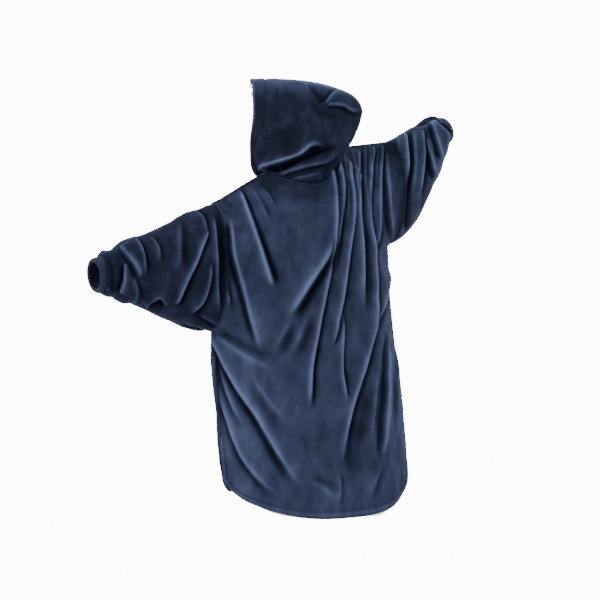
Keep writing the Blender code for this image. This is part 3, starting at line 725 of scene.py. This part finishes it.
def edge_tube(name, line, out, half_thick, half_wide, sides=12):
    """A rolled or flat-rolled edge along a line of points: half_thick along out, half_wide across the line."""
    rows = len(line) - 1
    along = unit(np.gradient(line, axis=0))
    out = unit(out - along * np.sum(out * along, axis=1, keepdims=True))
    beside = np.cross(along, out)
    work = bmesh.new()
    bmesh.ops.create_grid(work, x_segments=sides, y_segments=rows, size=0.5, calc_uvs=True)
    painted_light = work.verts.layers.float.new("painted_light")
    for vert in work.verts:
        i = min(rows, max(0, round((vert.co.y + 0.5) * rows)))
        turn = 2 * math.pi * (vert.co.x + 0.5)
        taper = 0.25 if i in (0, rows) else 1.0
        thick, wide = half_thick * taper * math.cos(turn), half_wide * taper * math.sin(turn)
        vert.co = line[i] + out[i] * thick + beside[i] * wide
        # painted light along the outside of the roll and painted shade down its sides
        vert[painted_light] = 0.20 * math.cos(turn) - 0.60 * math.sin(turn) ** 4
    bmesh.ops.remove_doubles(work, verts=work.verts, dist=2e-5)
    bmesh.ops.holes_fill(work, edges=[edge for edge in work.edges if edge.is_boundary], sides=0)
    bmesh.ops.recalc_face_normals(work, faces=work.faces)
    return finish_mesh(name, work)


def between(at, gone, rows):
    return np.array([np.interp(at, gone, rows[:, k]) for k in range(3)])


def stitch_row(name, line, out, spacing=0.0045, length=0.0030, wide=0.0009):
    """A row of short stitches sunk into the cloth along a line of points."""
    gone = np.concatenate([[0], np.cumsum(np.linalg.norm(np.diff(line, axis=0), axis=1))])
    work = bmesh.new()
    for at in np.arange(spacing, gone[-1] - spacing, spacing):
        places = [between(at + step, gone, line) for step in (-length / 2, length / 2)]
        up = between(at, gone, out)
        along = unit(places[1] - places[0])
        side = unit(np.cross(up, along))
        up = np.cross(along, side)
        turn = Matrix((along * length, side * wide, up * wide)).transposed().to_4x4()
        bmesh.ops.create_cube(work, size=1.0, matrix=Matrix.Translation((places[0] + places[1]) / 2) @ turn)
    return finish_mesh(name, work)


def hem_path(inset, count=220):
    """Places round a torso panel's free edges, from the top of one slit down, across the hem and up the other."""
    low, wide = inset / 0.95, inset / 0.90
    side = np.linspace(0, 1, count // 4)
    rounding = np.linspace(0, math.pi / 2, 12)[1:-1]
    big = 0.008
    down = SLIT_TOP + (low + big - SLIT_TOP) * side
    over = np.linspace(wide + big, 0.5, count // 2)
    u = np.concatenate([np.full(len(side), wide), wide + big * (1 - np.cos(rounding)), over])
    v = np.concatenate([down, low + big * (1 - np.sin(rounding)), np.full(count // 2, low)])
    return np.concatenate([u, 1 - u[-2::-1]]), np.concatenate([v, v[-2::-1]])


def build_torso(plush, fleece, thread):
    cloths = {}
    for panel in ("back", "front"):
        flip = panel == "back"
        folds = BACK_FOLDS if panel == "back" else FRONT_FOLDS
        place = torso_place(panel)
        cloth = folded(place, folds, free_torso, flip, BACKWARDS * WAY[panel], seed=3 if flip else 9, painted_shading=torso_painted_shading)
        cloths[panel] = cloth
        columns, rows = (260, 185) if flip else (200, 160)
        piece = cloth_piece(f"{panel}_cloth", columns, rows, cloth, flip=flip, size=(0.8, 1.0))
        wear(piece, plush, "torso", "plush", f"{panel}_panel")

        def lining_cloth(u, v, off, cloth=cloth, flip=flip):
            u = 0.5 + (u - 0.5) * 0.985
            v = v - 0.022 * ease((v - 0.88) / 0.12) * ease((np.abs(u - 0.5) - 0.19) / 0.05)
            v = v + 0.025 * (1 - ease(np.minimum(u, 1 - u) / 0.08)) * ease((0.1 - v) / 0.1)
            by_seam = ease(np.minimum(np.minimum(u, 1 - u), 1 - v) / 0.06)
            points, bright = cloth(u, v, off * (0.40 + 0.60 * by_seam) + 0.004 * by_seam * ease((0.03 - v) / 0.03))
            # the curls show a little below the hem
            across = points @ ACROSS
            low = 0.003 + (0.005 * hump(across, -0.060, 0.040) if flip else 0)
            low += 0.007 * hump(across, 0.235, 0.030) if flip else 0
            points[:, 2] -= (low * by_seam + 0.0012 * np.sin(across * 700)) * ease((0.02 - v) / 0.02)
            return points, bright

        lining = cloth_piece(f"{panel}_fleece", 170, 130, lining_cloth, -0.012, flip=flip, thick=-FLEECE_THICK)
        wear(lining, fleece, "torso", "fleece", f"{panel}_lining")
        u, v = hem_path(0.0085)
        line, _ = cloth(u, v, 0.0015)
        out = facing(place, u, v, flip)
        roll = edge_tube(f"{panel}_hem_band", line, out, 0.0052, 0.0088)
        wear(roll, plush, "torso", "plush", f"{panel}_hem_roll")
        u, v = hem_path(0.0190)
        line, _ = cloth(u, v, 0.0030)
        stitches = stitch_row(f"{panel}_hem_stitches", line, facing(place, u, v, flip))
        wear(stitches, thread, "torso", "thread")
    return cloths


def build_slit_tacks(cloths, thread):
    """The short bars of thread that close the top of each side slit."""
    for side, u in (("left", 1.0), ("right", 0.0)):
        work = bmesh.new()
        points = [cloths["back"](np.array([u]), np.array([SLIT_TOP + d]), 0.006)[0][0] for d in (0.001, 0.006)]
        up = unit(points[1] - points[0])
        out = np.cross(np.array([0.0, 1.0, 0.0]), up) * (1 if side == "left" else -1)
        turn = Matrix((np.array([0.0, 0.018, 0.0]), up * 0.005, out * 0.003)).transposed().to_4x4()
        bmesh.ops.create_cube(work, size=1.0, matrix=Matrix.Translation((points[0] + points[1]) / 2) @ turn)
        bmesh.ops.bevel(work, geom=work.edges[:], offset=0.001, segments=2, affect="EDGES", profile=0.5, material=-1)
        bmesh.ops.recalc_face_normals(work, faces=work.faces)
        wear(finish_mesh(f"{side}_slit_bar", work), thread, "torso", "thread", f"{side}_slit_tack")


def build_pocket(cloths, plush, thread):
    """The kangaroo pocket: sewn on at its top and bottom, with a slanting mouth at each side."""
    low, high = UNDERARM * 2 / 9, UNDERARM * 7 / 9

    def across(u, v):
        slant = 0.7 / 16 * v
        return 3 / 16 + slant + (10 / 16 - 2 * slant) * u

    def pocket(u, v, off=0.0):
        rise = np.sin(math.pi * np.clip(v, 0, 1)) ** 0.7
        return cloths["front"](across(u, v), low + (high - low) * v, off + 0.006 + 0.020 * rise)

    piece = cloth_piece("pocket_cloth", 100, 60, pocket, size=(0.45, 0.3))
    wear(piece, plush, "torso", "plush", "pocket_panel")
    v = np.linspace(0, 1, 60)
    for side, u in (("right", 0.0), ("left", 1.0)):
        spot = across(np.full(60, u), v)
        line, _ = pocket(np.full(60, u), v, 0.0015)
        out = facing(torso_place("front"), spot, low + (high - low) * v, False)
        roll = edge_tube(f"{side}_pocket_mouth", line, out, 0.0040, 0.0065)
        wear(roll, plush, "torso", "plush", f"{side}_pocket_hem")
    u = np.linspace(0, 1, 120)
    for name, at in (("top", 0.98), ("foot", 0.02)):
        line, _ = pocket(u, np.full(120, at), 0.0030)
        spot = across(u, np.full(120, at))
        out = facing(torso_place("front"), spot, np.full(120, low + (high - low) * at), False)
        wear(stitch_row(f"pocket_{name}_stitches", line, out), thread, "torso", "thread")


def build_sleeves(plush, fleece, rib):
    for side, folds in (("left", LEFT_SLEEVE_FOLDS), ("right", RIGHT_SLEEVE_FOLDS)):
        flip = side == "left"
        seed = 21 if flip else 31
        cloth = folded(sleeve_place(side), folds, free_sleeve, flip, seed=seed, painted_shading=sleeve_painted_shading, through=0.7)
        piece = cloth_piece(f"{side}_sleeve_cloth", 190, 200, cloth, wrap=True, flip=flip, size=(0.9, 0.4))
        wear(piece, plush, None, "plush", f"{side}_sleeve_panel", f"{side}_sleeve_head")
        start, end = blend_ends(side)
        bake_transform(piece)
        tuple(start)
        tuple(end)

        def lining_cloth(u, v, off=0.0, cloth=cloth):
            # it ends inside the cuff's seam, and hangs looser where the sleeve bends at the shoulder
            return cloth(u, 0.012 + 0.938 * v, off - 0.018 * hump(v, 0.48, 0.30))

        name = f"{side}_sleeve_fleece"
        lining = cloth_piece(name, 130, 110, lining_cloth, -0.014, wrap=True, flip=flip, thick=-FLEECE_THICK)
        wear(lining, fleece, None, "fleece", f"{side}_sleeve_lining")
        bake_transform(lining)
        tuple(start)
        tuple(end)
        build_cuff(side, rib)


def build_cuff(side, rib):
    """The cuff, rib knit in one wale for each rib: pulled wide where the sleeve is gathered onto it."""
    flip = side == "left"
    end, axis = np.array(CUFF_END[side]), unit(np.array(CUFF_AXIS[side]))
    sleeve = sleeve_place(side)

    def cloth(u, v, off=0.0):
        first = sleeve(u, np.full_like(v, 0.985))
        angle = 2 * math.pi * u
        lift = unit(np.array([0.0, 0.0, 1.0]) - axis * axis[2])
        beside = np.cross(axis, lift) * (-1 if flip else 1)
        spoke = lift * np.sin(angle)[:, None] + beside * np.cos(angle)[:, None]
        # past the mouth the knit turns in on itself
        turned = np.clip((v - 0.86) / 0.14, 0, 1)
        share = np.clip(v / 0.86, 0, 1)
        ribbing = RIB_DEEP * np.cos(RIBS * angle) * (1 - turned)
        radius = CUFF_RADIUS[side] + 0.002 * np.sin(math.pi * share) + ribbing - 0.005 * turned
        ring = end - axis * (CUFF_LENGTH[side] * (1 - share) - 0.004 * np.sin(math.pi * turned))[:, None]
        ring = ring + spoke * radius[:, None]
        join = ease(share / 0.30)[:, None]
        points = first * (1 - join) + ring * join + spoke * (off - 0.002 * (1 - join[:, 0]))[:, None]
        # painted light on the rib crests and painted shade in the furrows; the rib material does not read it
        return points, 0.4 * ribbing / RIB_DEEP

    name = f"{side}_cuff_knit"
    piece = cloth_piece(name, RIBS * 6, 26, cloth, wrap=True, flip=flip, size=(0.27, 0.07), thick=-0.003)
    wear(piece, rib, f"{side}_sleeve", "rib", f"{side}_cuff")


def blend_ends(side):
    middle = (ARMHOLE[side][0] + ARMHOLE[side][1]) / 2
    end = np.array([*SLEEVE_END[side], (SLEEVE_TOP[side][-1] + SLEEVE_BOTTOM[side][-1]) / 2])
    way = unit((end - middle) * np.array([1.0, 1.0, 0.0]))
    return tuple(middle + way * 0.010), tuple(middle + way * HEAD_LENGTH)


def blend_hood(piece):
    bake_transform(piece)


def build_hood(plush, fleece, thread):
    lines = []
    for side in ("left", "right"):
        flip = side == "right"
        place = hood_place(side)
        plain = folded(place, HOOD_FOLDS, free_hood, flip, waves=HOOD_WAVES, seed=41, painted_shading=hood_painted_shading)

        def cloth(u, v, off=0.0, plain=plain):
            # the hem of the face edge: a band 24 mm wide, standing a little proud of its stitching
            band = ease((0.082 - u) / 0.012)
            groove = hump(u, 0.088, 0.008)
            points, bright = plain(u, v, off + 0.0022 * band - 0.0016 * groove)
            # painted shade in the groove at the stitching, and the band a little darker
            return points, bright - 0.45 * groove - 0.12 * band

        piece = cloth_piece(f"hood_{side}_cloth", 170, 160, cloth, flip=flip, size=(0.4, 0.4))
        wear(piece, plush, None, "plush", f"hood_{side}_panel")
        blend_hood(piece)

        def lining_cloth(u, v, off=0.0, cloth=cloth):
            # the curls show in front of the rim near the top
            points, bright = cloth(u, v, off)
            forward = 0.013 * ease((0.05 - u) / 0.05) * hump(v, 0.86, 0.05)
            return points + np.outer(forward, HOOD_F), bright

        lining = cloth_piece(f"hood_{side}_fleece", 70, 70, lining_cloth, -0.008, flip=flip, thick=-FLEECE_THICK)
        wear(lining, fleece, None, "fleece", f"hood_{side}_lining")
        blend_hood(lining)
        v = np.linspace(0.02, 1, 90)
        edge, _ = cloth(np.full(90, 0.012), v, -0.002)
        edge = edge + np.outer(0.007 * ease((v - 0.86) / 0.10), HOOD_F)
        lines.append((edge, facing(place, np.full(90, 0.02), v, flip)))
        seam, _ = cloth(np.full(90, 0.088), v, 0.0030)
        stitches = stitch_row(f"hood_{side}_stitches", seam, facing(place, np.full(90, 0.088), v, flip))
        wear(stitches, thread, None, "thread")
        blend_hood(stitches)
    line = np.vstack([lines[0][0][:-1], lines[1][0][::-1]])
    out = np.vstack([lines[0][1][:-1], lines[1][1][::-1]])
    roll = edge_tube("hood_face_edge", line, out, 0.0060, 0.0055)
    wear(roll, plush, None, "plush", "hood_edge_roll")
    blend_hood(roll)


def build_neck(tape, label):
    """The tape over the neck seam, the hanging loop and the blank labels inside the back."""

    def inside(turn, height, amount):
        point = neck_point(turn)
        way = point - NECK_CENTRE
        way = unit(way - np.outer(way @ UP, UP))
        return point - way * np.reshape(amount, (-1, 1)) + UP * np.reshape(height, (-1, 1)), way

    def strip(u, v, off=0.0):
        turn = math.radians(58) + math.radians(390 - 58) * u
        return inside(turn, -0.013 + 0.012 * v, 0.017 - off + 0 * v)[0], 0 * u

    piece = cloth_piece("neck_seam_tape", 150, 4, strip, flip=True, size=(0.8, 0.012), thick=-0.001)
    wear(piece, tape, "torso", "tape", "neck_tape")
    share = np.linspace(-1, 1, 40)
    line, way = inside(math.pi + math.radians(13) * share, -0.006 - 0.026 * (1 - share**4), 0.020 + 0 * share)
    wear(edge_tube("nape_loop", line, way, 0.0009, 0.0030, 8), tape, "torso", "tape", "hanger_loop")
    spot, way = inside(np.array([math.pi]), np.array([-0.026]), np.array([0.0215]))
    across = unit(np.array([1.0, 0.0, 0.0]) - UP * UP[0])
    blank_label("nape_label", spot[0], across * 0.040, UP * 0.022, label, "neck_label")
    back = torso_place("back")
    u, v = np.array([0.945]), np.array([0.30])
    out = facing(back, u, v, True)[0]
    up = unit(back(u, v + 0.01)[0] - back(u, v - 0.01)[0])
    side = np.cross(out, up)
    blank_label("side_seam_label", back(u, v)[0] - out * 0.0230, side * 0.026, up * 0.044, label, "care_label")


def blank_label(name, centre, across, up, material, stands_for):
    """A blank satin label, hanging in a slight curl."""
    out = unit(np.cross(across, up))

    def cloth(u, v, off=0.0):
        curl = 0.0016 * np.sin(math.pi * u) * (1 - v)
        return centre + np.outer(u - 0.5, across) + np.outer(v - 0.5, up) + np.outer(curl + off, out), 0 * u

    piece = cloth_piece(name, 14, 14, cloth, size=(np.linalg.norm(across), np.linalg.norm(up)), thick=0.0005)
    wear(piece, material, "torso", "label", stands_for)


# ---------------------------------------------------------------- studio


def add_camera():
    data = bpy.data.cameras.new("camera")
    data.lens = 71.4
    data.sensor_width = 36.0
    camera = bpy.data.objects.new("camera", data)
    bpy.context.scene.collection.objects.link(camera)
    target = Vector((0.0, 0.0, EYE_UP))
    camera.location = target + Vector(BACKWARDS) * EYE_AWAY
    camera.rotation_euler = (target - camera.location).to_track_quat("-Z", "Y").to_euler()
    bpy.context.scene.camera = camera


def add_light(name, place, target, size, power, colour="#ffffff"):
    data = bpy.data.lights.new(name, "AREA")
    data.shape = "RECTANGLE"
    data.size, data.size_y = size
    data.energy = power
    data.color = linear(colour)[:3]
    lamp = bpy.data.objects.new(name, data)
    bpy.context.scene.collection.objects.link(lamp)
    lamp.location = place
    lamp.rotation_euler = (Vector(target) - Vector(place)).to_track_quat("-Z", "Y").to_euler()


def view_place(right, back, up):
    """A place so many metres to the right, towards the viewer and up, as the folds are seen."""
    return tuple(ACROSS * right + BACKWARDS * back + np.array([0, 0, up]))


def add_studio():
    world = bpy.data.worlds.new("studio")
    world.use_nodes = True
    tree = world.node_tree
    lighting = tree.nodes["Background"]
    lighting.inputs["Strength"].default_value = 3.4
    lighting.inputs["Color"].default_value = (1.0, 1.0, 1.0, 1.0)
    # the wall that is looked at is brighter than the light it gives, as on a lit backdrop
    wall = node(tree, "ShaderNodeBackground", inputs={"Color": (1.0, 1.0, 1.0, 1.0), "Strength": BACKDROP})
    looked_at = node(tree, "ShaderNodeLightPath").outputs["Is Camera Ray"]
    both = node(tree, "ShaderNodeMixShader", links={0: looked_at, 1: lighting.outputs[0], 2: wall.outputs[0]})
    tree.links.new(both.outputs[0], tree.nodes["World Output"].inputs["Surface"])
    bpy.context.scene.world = world
    work = bmesh.new()
    bmesh.ops.create_circle(work, cap_ends=True, segments=96, radius=14.0)
    floor = finish_mesh("studio_floor", work)
    for vert in floor.data.vertices:
        vert.co.z = -1.50
    surface = {"Roughness": 1.0, "Emission Color": (1.0, 1.0, 1.0, 1.0), "Emission Strength": BACKDROP - 3.0}
    made, tree, shader = start_material("matt_white_floor", surface)
    grain = node(tree, "ShaderNodeTexNoise", inputs={"Scale": 3.0}).outputs["Fac"]
    tint(tree, shader, grain, (0.0, (0.86, 0.86, 0.86, 1)), (1.0, (0.90, 0.90, 0.90, 1)))
    floor.visible_diffuse = floor.visible_glossy = False
    floor.data.materials.append(made)
    centre = (0.0, 0.0, -0.4)
    add_light("key", view_place(-1.8, 2.4, 1.5), centre, (1.0, 1.0), 130)
    add_light("fill", view_place(2.2, 2.2, 0.2), centre, (1.6, 2.0), 10)
    add_light("rim", view_place(1.5, -2.4, 1.6), centre, (1.4, 1.4), 50)


def main():
    plush = plush_flannel("navy_flannel_plush")
    fleece = sherpa_fleece("white_sherpa_fleece")
    rib = rib_knit("navy_cotton_rib_knit")
    tape = plain_woven("navy_cotton_tape", "#0f1420", 0.8)
    label = plain_woven("white_polyester_satin", "#e4e3df", 0.45)
    thread = plain_woven("navy_polyester_thread", "#171d31", 0.7)
    cloths = build_torso(plush, fleece, thread)
    build_slit_tacks(cloths, thread)
    build_pocket(cloths, plush, thread)
    build_sleeves(plush, fleece, rib)
    build_hood(plush, fleece, thread)
    build_neck(tape, label)
    add_camera()
    add_studio()


main()
